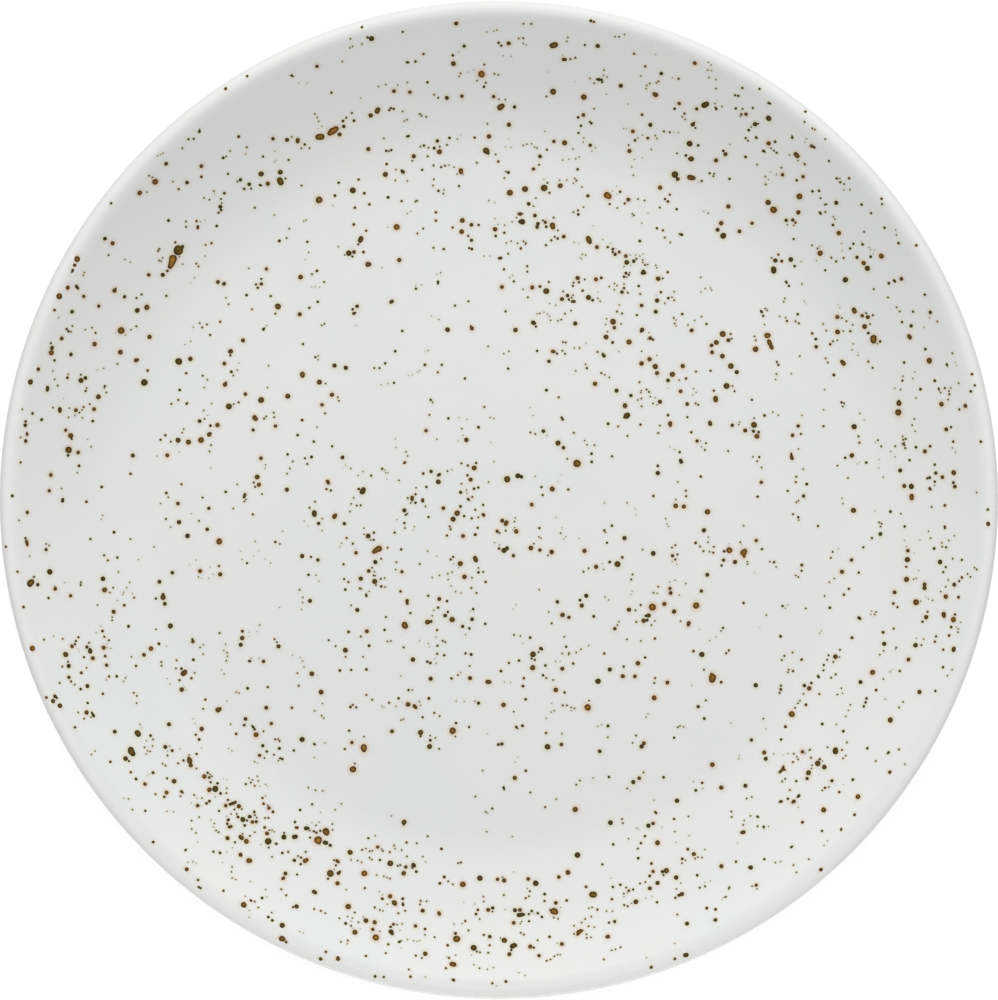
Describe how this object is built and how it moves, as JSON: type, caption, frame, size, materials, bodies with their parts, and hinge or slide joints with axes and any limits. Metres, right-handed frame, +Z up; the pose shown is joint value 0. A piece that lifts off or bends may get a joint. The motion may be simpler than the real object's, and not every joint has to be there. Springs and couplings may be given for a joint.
{
  "type": "coupe dinner plate",
  "caption": "Round coupe dinner plate in fired clay with a flat well, upturned wall, rolled lip and foot ring, under a pale glaze speckled with iron spots.",
  "frame": {"origin": "middle of the circle that the foot ring stands on", "axes": "+Z up along the axis of the plate, towards its eating face; +Y towards the top of the picture"},
  "size_m": [0.28, 0.28, 0.0213],
  "materials": {
    "fired_clay": "matt bare fired clay, seen only on the foot",
    "speckled_glaze": "satin pale grey-white glaze with dark brown iron spots"
  },
  "bodies": {
    "root": {"body": "fired_clay", "glaze_coat": "speckled_glaze", "recess_glaze": "speckled_glaze"}
  },
  "joints": []
}
